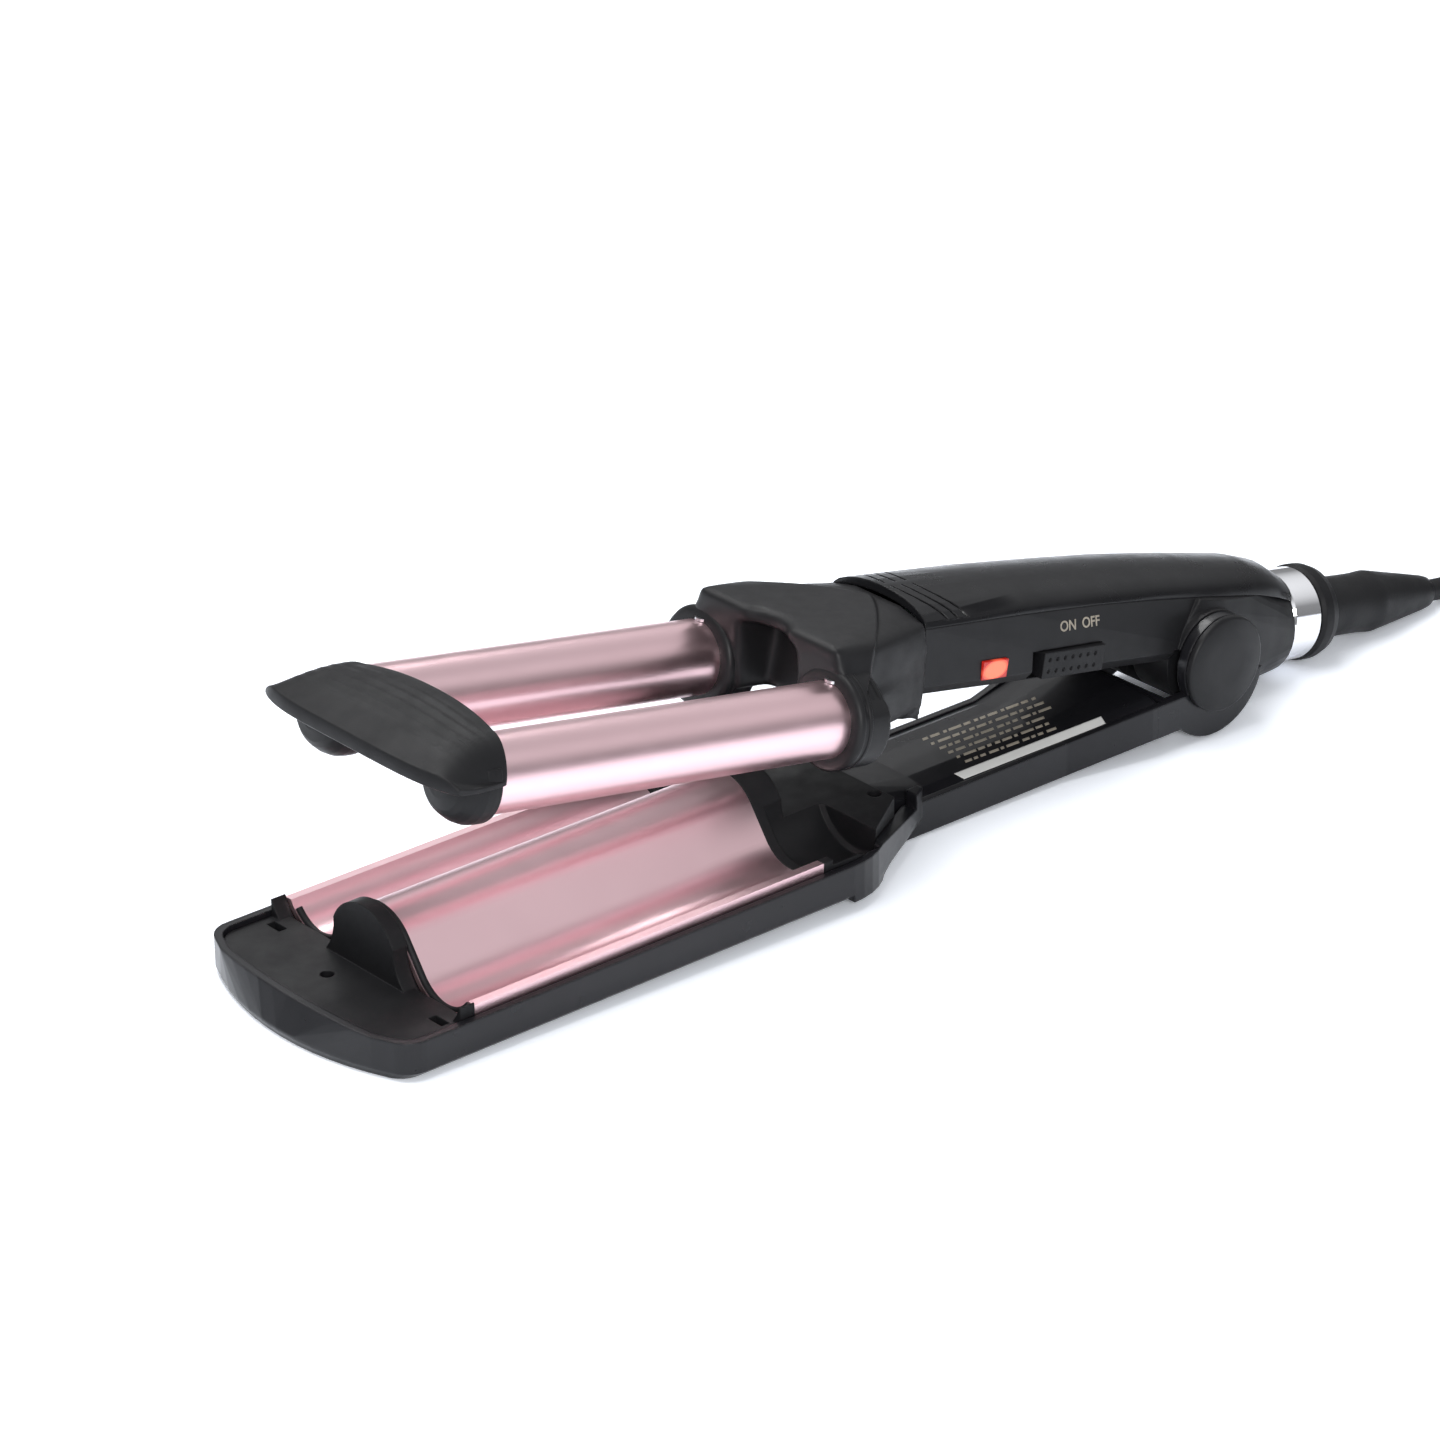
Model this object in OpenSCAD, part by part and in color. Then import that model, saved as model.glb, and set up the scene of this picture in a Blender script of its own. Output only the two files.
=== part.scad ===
// Twin-barrel hair crimper: two round heated barrels on the handle arm close
// into a heated wave plate on the lower arm. Millimetres, +Z up, tip towards -X.
// Both arms are drawn about the hinge axis, then set down as the open tool lies:
// on the front edge of the lower arm and on the chrome ring behind the hinge.

/* [Barrels] */
// Diameter of each barrel
barrel_d = 19; // [18:0.5:20]
// Distance between the two barrel axes
barrel_pitch = 48; // [48:0.5:50]
// Length of a barrel between end plug and collar
barrel_l = 120; // [110:1:130]
// Wall thickness of a barrel
barrel_wall = 1.2; // [0.8:0.1:1.5]

/* [Lower arm] */
// Hinge axis to the front of the lower arm
reach = 286; // [280:1:292]
// Width of the wave tray
tray_w = 77; // [77:1:82]
// Width of the lower arm over the hinge ears
grip_w = 45; // [44:0.5:46]
// Width of the lower handle at its waist
waist_w = 36; // [35:0.5:38]
// Radial gap between a closed barrel and its trough
wave_gap = 1.5; // [1.2:0.1:1.7]
// Height of the ridge between the troughs above the underside
ridge_h = 23.5; // [22:0.5:24]

/* [Hinge] */
// Height of the hinge axis above the underside of the lower arm
hinge_h = 14.9; // [14.5:0.1:16]
// Diameter of the hinge pin
pin_d = 5; // [4:0.5:6]
// Running gap around the hinge pin
pin_gap = 0.05; // [0.02:0.01:0.08]
// Angle between the arms when open
open_angle = 10.5; // [9:0.5:11]

/* [Cord] */
// Diameter of the mains cord
cord_d = 6; // [5.6:0.2:6.2]
// Centre radius of the inner folds of the stored hank
fold_r = 18; // [18:1:20]
// Half length of the straight runs of the stored hank
run_half = 52; // [45:1:54]

/* [Hidden] */
$fn = 64;
eps = 0.01;

shell_black = "#242426";
frame_black = "#303033";
soft_black = "#1c1c1e";
rose = "#cfa3a9";
steel = "#b9bcc0";
white_ceramic = "#e9e5dc";

// Placing of the two arms: the tool lies on its front edge and its chrome ring
rest_tilt = 1.2;
exit_angle = open_angle - rest_tilt;
tail_z = 0.6;
relief_back = 104;
front_x = reach * cos(rest_tilt) - (hinge_h - 2) * sin(rest_tilt);
back_x = relief_back * cos(exit_angle) + (tail_z + 4.2) * sin(exit_angle);
hinge_x = (front_x - back_x) / 2;
hinge_z = reach * sin(rest_tilt) + hinge_h * cos(rest_tilt);

// Barrels, measured along the upper arm from the hinge
barrel_r = barrel_d / 2;
barrel_y = barrel_pitch / 2;
barrel_z = 2.4;
barrel_back = -135.5;
barrel_front = barrel_back - barrel_l;
socket_r = barrel_r + 3.1;
socket_back = -130.5;
collar_l = 4;
heater_r = 4;

// Handle sections: [x, half width at the parting line, height of that line, crown height, half width below, underside]
sections = [
    [-104, 17.3, 19, 5.9, 19, 1.8],
    [-70, 16.6, 18.8, 5.7, 19.2, 1.6],
    [-42, 15.6, 18, 5.5, 19.2, 1],
    [-20, 15, 16.7, 5.9, 18.9, 0.6],
    [0, 14.2, 15, 6.1, 18.5, 0],
    [23, 12.4, 12.4, 6.6, 14.5, -9],
    [31.5, 11.2, 10.4, 6.7, 13, -12],
    [38.4, 9.6, 8.2, 5.3, 12, -13]
];
parting = [for (s = sections) [s[0], s[2]]];
front_sections = [for (s = sections) if (s[0] < 10) s];
shell_wall = 2.2;
boss_r = 13;
ear_gap = 0.35;
boss_half = 19.2;
ear_in = boss_half + ear_gap;
ear_out = grip_w / 2;
cap_gap = 0.3;
cap_t = 1.9;
spring_room_r = 9.5;
spring_room_half = 9;

// Lower arm, heights measured from its underside
floor_t = 2.2;
wall_t = 2;
rim_h = 10;
lip_h = 12.4;
trough_r = barrel_r + wave_gap;
trough_z = hinge_h + barrel_z;
plate_t = 1.4;
plate_front = 30 - reach;
plate_back = -149;
guard_back = -113;
cup_r = socket_r + 1;
cup_back = socket_back + 2;
ridge_r = 11.5;
grip_wall_h = 9;
grip_front = -106;
grip_back = -17;
waist_back = -50;
grip_drop = 3;

// Ring, swivel and strain relief, on an axis tail_z above the hinge
rear_r = 12.8;
ring_front = 38.9;
ring_back = 49.5;
ring_r = 12.4;
swivel_back = 58;
cord_r = cord_d / 2;

// Cord on the surface: from the strain relief to the hank, then on to the plug
cord_z = cord_r - 0.5;
turn_step = 7.8;
layer_step = 6.6;
hank_x = 330;
inward_turns = 2;
total_turns = 4;
outer_r = fold_r + inward_turns * turn_step;
tail_r = fold_r + (total_turns - inward_turns - 0.5) * turn_step;
plug_front = 442;
plug_l = 35;
plug_half_h = 6.8;
exit_x = hinge_x + relief_back * cos(exit_angle) + tail_z * sin(exit_angle);
exit_z = hinge_z - relief_back * sin(exit_angle) + tail_z * cos(exit_angle);
run_points = [
    [exit_x - 4.9, 0, exit_z + 0.8], [exit_x, 0, exit_z], [exit_x + 5, 0, exit_z - 0.65],
    [exit_x + 10, -0.3, exit_z - 1.15], [exit_x + 16, -1.2, exit_z - 1.8], [217, -2.8, cord_z + 0.3], [221.5, -4.5, cord_z], [227, -8.5, cord_z],
    [232, -13, cord_z], [237, -18.5, cord_z], [242, -23.6, cord_z], [247, -27.8, cord_z],
    [252, -30.8, cord_z], [258, -32.8, cord_z], [265, -33.5, cord_z],
    [hank_x - run_half - 6, -outer_r, cord_z], [hank_x - run_half, -outer_r, cord_z]
];
tail_points = [
    [hank_x - run_half, -tail_r, cord_z + layer_step], [hank_x - run_half + 6, -tail_r, cord_z + layer_step],
    [300, -tail_r, cord_z + layer_step], [330, -tail_r, cord_z + layer_step], [360, -tail_r, cord_z + layer_step],
    [384, -tail_r, cord_z + layer_step], [394, -29.2, cord_z + layer_step], [404, -28.2, cord_z + layer_step],
    [413, -27, cord_z + layer_step - 0.1], [421, -26, 8.6], [428, -25.4, 8], [434, -25.1, 7.3],
    [plug_front - 2, -25, plug_half_h], [plug_front + 4, -25, plug_half_h]
];

upper() handle_top_shell();
upper() handle_frame();
upper() fork_housing();
upper() barrel(-1);  // barrel_near
upper() barrel(1);  // barrel_far
upper() barrel_collar(-1);  // barrel_collar_near
upper() barrel_collar(1);  // barrel_collar_far
upper() end_plug(-1);  // end_plug_near
upper() end_plug(1);  // end_plug_far
upper() tip_bridge();
upper() barrel_heater(-1);  // barrel_heater_near
upper() barrel_heater(1);  // barrel_heater_far
upper() heater_spacers();
upper() barrel_screws();
upper() led_lens();
upper() switch_body();
upper() switch_knob();
upper() control_board();
upper() thermal_fuse();
upper() handle_screws();
upper() hinge_pin();
upper() hinge_cap(-1);  // hinge_cap_near
upper() hinge_cap(1);  // hinge_cap_far
upper() torsion_spring();
upper() chrome_ring();
upper() swivel_collar();
upper() strain_relief();
cord_run();
cord_hank();
cord_tail();
hank_tie();
plug_body();
plug_pins();
lower() lower_housing();
lower() front_end_plate();
lower() wave_plate();
lower() rear_guard();
lower() inner_cover();
lower() plate_heater();
lower() heater_clamp();
lower() plate_sensor();
lower() lower_screws();

// ---- Placing ----

// Upper arm: origin on the hinge axis, tip raised by the opening angle
module upper() {
    translate([hinge_x, 0, hinge_z]) rotate([0, exit_angle, 0]) children();
}

// Lower arm: heights from its underside, x from the hinge axis
module lower() {
    translate([hinge_x, 0, hinge_z]) rotate([0, -rest_tilt, 0]) translate([0, 0, -hinge_h]) children();
}

// Turns a shape drawn around Z so that it runs along +X
module along_x(x = 0, y = 0, z = 0) {
    translate([x, y, z]) rotate([0, 90, 0]) children();
}

// A cylinder along Y between two heights
module across(r, y0, y1) {
    translate([0, y0, 0]) rotate([-90, 0, 0]) cylinder(r = r, h = y1 - y0);
}

// ---- Handle ----

// Half ellipse crown above the parting line, seen along the handle
module crown_slab(s, inset = 0) {
    translate([s[0], 0, s[2]])
        rotate([90, 0, 90])
            linear_extrude(height = 0.4)
                polygon([for (a = [0 : 15 : 180]) [(s[1] - inset) * cos(a), (s[3] - inset) * sin(a)]]);
}

// Section of the frame below the parting line
module frame_slab(s, inset = 0) {
    low = s[5] + inset;
    round_y = s[4] - inset;
    translate([s[0], 0, 0])
        rotate([90, 0, 90])
            linear_extrude(height = 0.4)
                polygon([
                    [-(s[1] - inset), s[2] - 0.1], [-round_y, low + 2.5], [-(round_y - 2), low],
                    [round_y - 2, low], [round_y, low + 2.5], [s[1] - inset, s[2] - 0.1]
                ]);
}

module handle_top_shell() {
    color(shell_black)
    difference() {
        hull() for (s = sections) crown_slab(s);
        hull() for (s = sections) if (s[0] < 35) crown_slab(s, shell_wall);
        rotate([90, 0, 0]) linear_extrude(height = 60, center = true)
            polygon([[-110, -30], [-110, 19], each parting, [60, 8.2], [60, -30]]);
        for (k = [0 : 2]) grip_groove(-101.5 + 3.6 * k);
    }
}

// A shallow curved groove across the crown
module grip_groove(x) {
    translate([x + 26, 0, 0])
        difference() {
            cylinder(r = 26.7, h = 40);
            translate([0, 0, -eps]) cylinder(r = 25.9, h = 41);
            translate([-20, -30, -eps]) cube([60, 60, 41]);
            translate([-30, -30, -eps]) cube([60, 60, 20.2]);
            translate([-30, -1.2, -eps]) cube([60, 2.4, 41]);
        }
}

module handle_frame() {
    color(frame_black)
    difference() {
        union() {
            difference() {
                hull() for (s = front_sections) frame_slab(s);
                hull() for (s = front_sections) if (s[0] < -10) frame_slab(s, shell_wall);
                translate([-104 - eps, -14.5, 4.2]) cube([4, 29, 20]);
            }
            across(boss_r, -boss_half, boss_half);
            hull() {
                across(boss_r, -17, 17);
                translate([0, -15, 0]) cube([1, 30, 20]);
                along_x(37.4, 0, -1.3) cylinder(r = rear_r, h = 1.4, $fn = 32);
            }
        }
        rotate([90, 0, 0]) linear_extrude(height = 60, center = true)
            polygon([[-110, 40], [-110, 18.98], for (q = parting) [q[0], q[1] - 0.02], [60, 8.18], [60, 40]]);
        ear_pockets();
        across(pin_d / 2, -boss_half - 1, boss_half + 1);
        across(spring_room_r, -spring_room_half, spring_room_half);
        translate([-20, -3.5, -13.5]) cube([14, 7, 8]);
        along_x(27, 0, tail_z) cylinder(r = 6.2, h = 30);
        translate([8, -4, -4]) cube([24, 8, 8]);
        translate([led_x - 4.4, -24, led_z - 2.5]) cube([8.8, 10, 5]);
        translate([slot_x, -24, slot_z]) cube([slot_l, 8.4, slot_w]);
        for (x = screw_xs) translate([x, 0, -0.0173 * x]) {
            translate([0, 0, -1]) cylinder(r = 3, h = 2.21);
            translate([0, 0, -1]) cylinder(r = 1.52, h = 8);
        }
    }
}

// Hollows in the flanks of the frame around the hinge, in front of the caps
module ear_pockets() {
    for (s = [-1, 1])
        translate([0, s * (boss_half + 3), 0])
            difference() {
                translate([-14, -6, -14]) cube([14, 12, 17.5]);
                rotate([90, 0, 0]) cylinder(r = 8, h = 14, center = true);
            }
}

led_x = -79.5;
led_z = 6.3;
slot_x = -66;
slot_l = 25;
slot_z = 1.6;
slot_w = 7.4;
screw_xs = [-90, -28];

// ---- Fork that holds both barrels ----

module fork_housing() {
    color(frame_black)
    difference() {
        union() {
            hull() {
                for (s = [-1, 1]) along_x(-136, s * (barrel_y - 4), 4) cylinder(r = 11, h = 3, $fn = 32);
                translate([-141.5, -barrel_y - 1.5, 18]) cube([14, barrel_pitch + 3, 2.6]);
                translate([-106, 0, 0]) rotate([90, 0, 90]) linear_extrude(height = 1.6)
                    polygon([[-17.6, 21.2], [-20, 16], [-20.3, 0], [-18, -2.1], [18, -2.1], [20.3, 0], [20, 16], [17.6, 21.2], [8, 23.2], [-8, 23.2]]);
            }
            for (s = [-1, 1]) along_x(-140, s * barrel_y, barrel_z) cylinder(r = socket_r, h = socket_back + 140);
            translate([skirt_front, -19.6, -3.8]) cube([skirt_l, 39.2, 8]);
        }
        for (s = [-1, 1]) {
            along_x(-142, s * barrel_y, barrel_z) cylinder(r = barrel_r + 2.05, h = barrel_back + collar_l + 142.02);
            along_x(-142, s * barrel_y, barrel_z) cylinder(r = barrel_r + 0.02, h = 10.7);
        }
        front_recess();
        difference() {
            translate([-150, -barrel_y, -20]) cube([socket_back + 150.2, barrel_pitch, 17.8]);
            for (s = [-1, 1]) along_x(-151, s * barrel_y, barrel_z) cylinder(r = socket_r, h = socket_back + 151);
        }
        translate([socket_back, -45, -32]) cube([skirt_front - socket_back, 90, 29.8]);
        translate([skirt_front + 2, -17.6, -5]) cube([20, 35.2, 22.5]);
    }
}

skirt_front = -111;
skirt_l = 6.9;

// The dark hollow between the two sockets
module front_recess() {
    translate([-148, 0, 0]) cylinder(r = 10.2, h = 60, center = true);
    translate([-150, -10.2, -4]) cube([22, 20.4, 20.5]);
}

module barrel(side) {
    color(rose)
    difference() {
        along_x(barrel_front, side * barrel_y, barrel_z) cylinder(r = barrel_r, h = barrel_l + 4);
        along_x(barrel_front - 1, side * barrel_y, barrel_z) cylinder(r = barrel_r - barrel_wall, h = barrel_l + 6);
        translate([screw_at, side * barrel_y, barrel_z]) cylinder(r = 1.2, h = 20);
    }
}

screw_at = barrel_back - 4.5;

module barrel_screws() {
    color(steel)
    for (s = [-1, 1])
        translate([screw_at, s * barrel_y, barrel_z + barrel_r]) {
            translate([0, 0, 0.05]) cylinder(r = 1.9, h = 0.7);
            translate([0, 0, -4]) cylinder(r = 1.18, h = 4.1);
        }
}

// Grooved black ring around the root of a barrel
module barrel_collar(side) {
    color(soft_black)
    along_x(barrel_back, side * barrel_y, barrel_z)
        rotate_extrude()
            polygon([
                [barrel_r + 0.02, 0], [barrel_r + 1.2, 0], [barrel_r + 1.9, 1], [barrel_r + 1.9, 2.2],
                [barrel_r + 1.1, 2.5], [barrel_r + 1.1, 3], [barrel_r + 1.95, 3.3], [barrel_r + 1.95, collar_l],
                [barrel_r + 0.02, collar_l]
            ]);
}

// Black cap over the front of a barrel
cap_r = barrel_r + wave_gap;
cap_top = 5.2;
module end_plug(side) {
    color(soft_black)
    along_x(barrel_front, side * barrel_y, barrel_z)
        difference() {
            rotate_extrude()
                polygon([
                    [0, -4.2], [4, -4.1], [6.8, -3.5], [8.2, -2.5], [9, -1.5], [10, 0], [cap_r - 0.2, 2],
                    [cap_r, 4], [cap_r, 5.7], [barrel_r + 0.02, 5.7], [barrel_r + 0.02, -0.02],
                    [barrel_r - barrel_wall - 0.02, -0.02], [barrel_r - barrel_wall - 0.02, 8], [0, 8]
                ]);
            translate([0, 0, -6]) cylinder(r = 1.5, h = 5);
            translate([-20, -20, -6]) cube([20 - cap_top, 40, 6]);
            translate([-20, -20, -eps]) cube([20 - cap_top, 40, 5.8]);
        }
}

// Domed visor that joins the two barrel tips
module tip_bridge() {
    color(soft_black)
    difference() {
        hull() {
            visor_layer(3.4, 0.97, 1.5, 15, 0);
            visor_layer(6.5, 1, 0, 19, 0);
            visor_layer(8.2, 1, 0, 21, 1.5);
            visor_layer(10.8, 0.9, 2.5, 25, 2.5);
            visor_layer(12.4, 0.74, 5.5, 28.5, 4);
            visor_layer(13.5, 0.51, 10, 24, 2);
            visor_layer(13.9, 0.26, 14, 21, 0);
        }
        for (s = [-1, 1]) {
            intersection() {
                along_x(barrel_front - 6, s * barrel_y, barrel_z) cylinder(r = cap_r + 0.06, h = 11.76);
                translate([visor_x - 12, -50, -20]) cube([60, 100, 20 + barrel_z + cap_top + 0.06]);
            }
            along_x(barrel_front + 0.02, s * barrel_y, barrel_z) cylinder(r = barrel_r + 0.06, h = 40);
        }
        translate([visor_x + 4, -14, -10]) cube([40, 28, 19.5]);
    }
}

visor_x = barrel_front - 12.5;
// One level of the visor: bowed edges front and rear, a part of the full width, drawn in by inset at the front
module visor_layer(z, part, inset, long, bow) {
    half_y = (barrel_y + 11) * part;
    translate([visor_x, 0, z])
        linear_extrude(height = 0.3)
            polygon([
                for (k = [-4 : 4]) [inset + 3 * (k / 4) * (k / 4), half_y * k / 4],
                for (k = [4 : -1 : -4]) [long - bow * (k / 4) * (k / 4), half_y * k / 4]
            ]);
}

module barrel_heater(side) {
    color(white_ceramic)
    along_x(barrel_front + 12, side * barrel_y, barrel_z)
        difference() {
            cylinder(r = heater_r, h = barrel_l - 16);
            translate([0, 0, barrel_l - 24]) cylinder(r = 1.4, h = 10);
        }
}

// Discs that centre the heater rods in the barrels
module heater_spacers() {
    color(white_ceramic)
    for (s = [-1, 1])
        for (x = [barrel_front + 26, barrel_front + barrel_l / 2 + 2, barrel_back - 22])
            along_x(x, s * barrel_y, barrel_z)
                difference() {
                    cylinder(r = barrel_r - barrel_wall - 0.02, h = 3);
                    translate([0, 0, -1]) cylinder(r = heater_r + 0.02, h = 5);
                }
}

// ---- Controls ----

module led_lens() {
    color("#e8502a")
    union() {
        translate([led_x - 4.25, -19.4, led_z - 2.35]) cube([8.5, 4.4, 4.7]);
        translate([led_x - 5.2, -15.7, led_z - 0.6]) cube([10.4, 1.3, 3.8]);
    }
}

module switch_body() {
    color(soft_black)
    difference() {
        translate([slot_x - 1, -15.5, slot_z + 3.2]) cube([slot_l + 2, 7.4, slot_w - 2]);
        translate([slot_x + 1, -16, slot_z + 3.8]) cube([slot_l - 2, 4.4, 2.4]);
    }
}

module switch_knob() {
    color(soft_black)
    union() {
        difference() {
            translate([slot_x + 3.2, -19.8, slot_z + 0.3]) cube([slot_l - 3.5, 4, slot_w - 0.6]);
            for (k = [0 : 6], m = [0, 1])
                translate([slot_x + 5.2 + 2.7 * k, -19.4, slot_z + 2.1 + 3.1 * m]) rotate([90, 0, 0]) cylinder(r = 0.55, h = 1);
        }
        translate([slot_x + 8, -16, slot_z + 4]) cube([8, 3.6, 2]);
    }
}

module control_board() {
    color("#2f6b3c")
    translate([-96, -13, slot_z + slot_w + 1.3]) cube([62, 26, 1.6]);
}

module thermal_fuse() {
    color(steel)
    along_x(-88, 6, slot_z + slot_w + 4.8) cylinder(r = 1.8, h = 12);
}

// Screws up through the frame into the top shell
module handle_screws() {
    color(steel)
    for (x = screw_xs)
        translate([x, 0, -0.0173 * x]) {
            translate([0, 0, 0.2]) cylinder(r = 2.9, h = 1);
            translate([0, 0, 0.8]) cylinder(r = 1.5, h = 7.4);
        }
}

// ---- Hinge ----

module hinge_pin() {
    color(steel)
    across(pin_d / 2 - 0.01, -ear_out - cap_gap, ear_out + cap_gap);
}

// Round cap over the end of the pin, outside the ear
module hinge_cap(side) {
    color(frame_black)
    rotate([0, 0, side > 0 ? 0 : 180])
        difference() {
            translate([0, ear_out + cap_gap, 0]) rotate([-90, 0, 0]) rotate_extrude()
                polygon([[0, 0], [boss_r, 0], [boss_r, cap_t - 0.5], [boss_r - 0.5, cap_t], [0, cap_t]]);
            across(pin_d / 2, ear_out, ear_out + cap_gap + 0.05);
        }
}

// ---- Springs and cord: one swept tube each ----

function unit(v) = v / norm(v);
function tangent_at(p, i) = unit(p[min(i + 1, len(p) - 1)] - p[max(i - 1, 0)]);
function ring_at(c, t, r, sides) =
    let (u = unit(cross([0, 0, 1], t)), v = cross(t, u))
    [for (k = [0 : sides - 1]) c + r * (cos(360 * k / sides) * u + sin(360 * k / sides) * v)];

// A closed round tube along a list of points
module tube(p, r, sides = 10) {
    n = len(p);
    rings = [for (i = [0 : n - 1]) each ring_at(p[i], tangent_at(p, i), r, sides)];
    walls = [
        for (i = [0 : n - 2], k = [0 : sides - 1])
            let (a = i * sides + k, b = i * sides + (k + 1) % sides)
            each [[a, b, a + sides], [b, b + sides, a + sides]]
    ];
    first = [for (k = [1 : sides - 2]) [0, k + 1, k]];
    last = [for (k = [1 : sides - 2]) [(n - 1) * sides, (n - 1) * sides + k, (n - 1) * sides + k + 1]];
    polyhedron(points = rings, faces = [each walls, each first, each last]);
}

spring_r = 6;
wire_r = 0.8;
coils = 4;
coil_step = 2.4;
spring_points = [
    [6.36, spring_r - 0.1, 5.4],
    for (k = [0 : 8 * coils])
        [spring_r * sin(45 * k), spring_r * cos(45 * k), 5 - coil_step * k / 8],
    [-6.36, spring_r - 0.1, 4.6 - coils * coil_step]
];

module torsion_spring() {
    color(steel)
    rotate([90, 0, 0])
        tube(spring_points, wire_r, 6);
}

// Racetrack hank: winds in on the surface, climbs one layer and winds out again
function turn_r(t) =
    t < inward_turns ? fold_r + (inward_turns - t) * turn_step
    : t < inward_turns + 0.5 ? fold_r
    : fold_r + (t - inward_turns - 0.5) * turn_step;
function turn_z(t) = cord_z + layer_step * min(1, max(0, (t - inward_turns) * 2));
// Place on the racetrack after s steps of 24: straight, fold, straight, fold
function track(s, r) =
    s < 3 ? [-run_half + 2 * run_half * s / 3, -r]
    : s < 12 ? [run_half + r * cos(-90 + 20 * (s - 3)), r * sin(-90 + 20 * (s - 3))]
    : s < 15 ? [run_half - 2 * run_half * (s - 12) / 3, r]
    : [-run_half + r * cos(90 + 20 * (s - 15)), r * sin(90 + 20 * (s - 15))];
hank_steps = 24 * total_turns;
hank_points = [
    for (i = [0 : hank_steps])
        let (t = i / 24, q = track(i % 24, turn_r(t)))
        [hank_x + q[0], q[1], turn_z(t)],
];
hank_line = [
    hank_points[0], hank_points[0] + [cord_d, 0, 0],
    for (i = [1 : hank_steps - 1]) hank_points[i],
    hank_points[hank_steps] - [0.5, 0, 0], hank_points[hank_steps]
];
function line_length(p, i = 0) = i >= len(p) - 1 ? 0 : norm(p[i + 1] - p[i]) + line_length(p, i + 1);
gaps = [
    for (i = [0 : hank_steps], j = [i + 8 : 1 : hank_steps]) norm(hank_points[i] - hank_points[j]) - cord_d
];
echo(least_gap = min(gaps));
echo(cord_length = line_length(run_points) + line_length(hank_points) + line_length(tail_points));

// Removes what would lie below the table
module laid_flat() {
    difference() {
        children();
        translate([100, -100, -10]) cube([400, 200, 10]);
    }
}

module cord_run() {
    color(soft_black) laid_flat() tube(run_points, cord_r);
}

module cord_hank() {
    color(soft_black)
    difference() {
        laid_flat() tube(hank_line, cord_r, 6);
        tie_place() translate([0, 0, -1]) cube([tie_l, tie_w, 1.65]);
    }
}

module cord_tail() {
    color(soft_black) tube(tail_points, cord_r);
}

tie_l = 12;
tie_w = outer_r - fold_r + cord_d + 3;
module tie_place() {
    translate([hank_x + 8, -outer_r - cord_r - 1.5, 0]) children();
}

// Band around both layers of the near runs
module hank_tie() {
    high = layer_step + cord_d + 0.3;
    color("#3a3a3c")
    tie_place()
        difference() {
            cube([tie_l, tie_w, high + 0.8]);
            translate([-1, 0.8, 0.6]) cube([tie_l + 2, tie_w - 1.6, high - 0.6]);
        }
}

module plug_body() {
    color(soft_black)
    translate([plug_front, -25, plug_half_h])
        difference() {
            hull() {
                along_x() cylinder(r = 4.6, h = 1, $fn = 32);
                translate([15, -13.5, -6.75]) cube([1, 27, 13.5]);
                translate([plug_l - 1, -13.5, -6.75]) cube([1, 27, 13.5]);
            }
            along_x(-1) cylinder(r = cord_r + 0.05, h = 5.2);
            for (s = [-1, 1]) along_x(plug_l - 6, s * 9.3) cylinder(r = 2.01, h = 8);
        }
}

module plug_pins() {
    color(steel)
    for (s = [-1, 1])
        along_x(plug_front + plug_l - 6, -25 + s * 9.3, plug_half_h)
            union() {
                cylinder(r = 2, h = 24);
                translate([0, 0, 24 - eps]) cylinder(r1 = 2, r2 = 1.2, h = 1);
            }
}

// ---- Ring, swivel and strain relief ----

module chrome_ring() {
    color("#d9dbde")
    along_x(ring_front, 0, tail_z)
        rotate_extrude()
            polygon([
                [6.2, 0], [ring_r - 0.6, 0], [ring_r, 0.6], [ring_r, ring_back - ring_front - 0.6],
                [ring_r - 0.6, ring_back - ring_front], [8.5, ring_back - ring_front], [8.5, 2], [6.2, 2]
            ]);
}

module swivel_collar() {
    color(soft_black)
    along_x(ring_back, 0, tail_z)
        rotate_extrude()
            polygon([
                [4.2, -4.2], [8.45, -4.2], [8.45, 0.3], [12.1, 0.3], [12.9, 1.4], [12.9, 4.2], [12.1, 6.6],
                [10.4, swivel_back - ring_back - 0.4], [8.6, swivel_back - ring_back], [4.2, swivel_back - ring_back]
            ]);
}

// Thick rubber sleeve with shallow rings, tapered towards the cord
module strain_relief() {
    sleeve_l = relief_back - swivel_back;
    color(soft_black)
    along_x(swivel_back, 0, tail_z)
        rotate_extrude()
            polygon([
                [cord_r + 0.35, 0], [8.3, 0],
                for (k = [0 : 5])
                    let (z = 5 + 6 * k, r = sleeve_r(z))
                    each [[r, z], [r - 0.6, z + 0.5], [r - 0.6, z + 1.6], [sleeve_r(z + 2.1), z + 2.1]],
                [sleeve_r(sleeve_l - 1), sleeve_l - 1], [cord_r + 1.2, sleeve_l], [cord_r + 0.35, sleeve_l]
            ]);
}
function sleeve_r(z) = 8.3 - 3.4 * pow(z / (relief_back - swivel_back), 2);

// ---- Lower arm ----

function arc(cx, cy, r, a0, a1, n = 8) = [for (k = [0 : n]) let (a = a0 + (a1 - a0) * k / n) [cx + r * cos(a), cy + r * sin(a)]];

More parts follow.
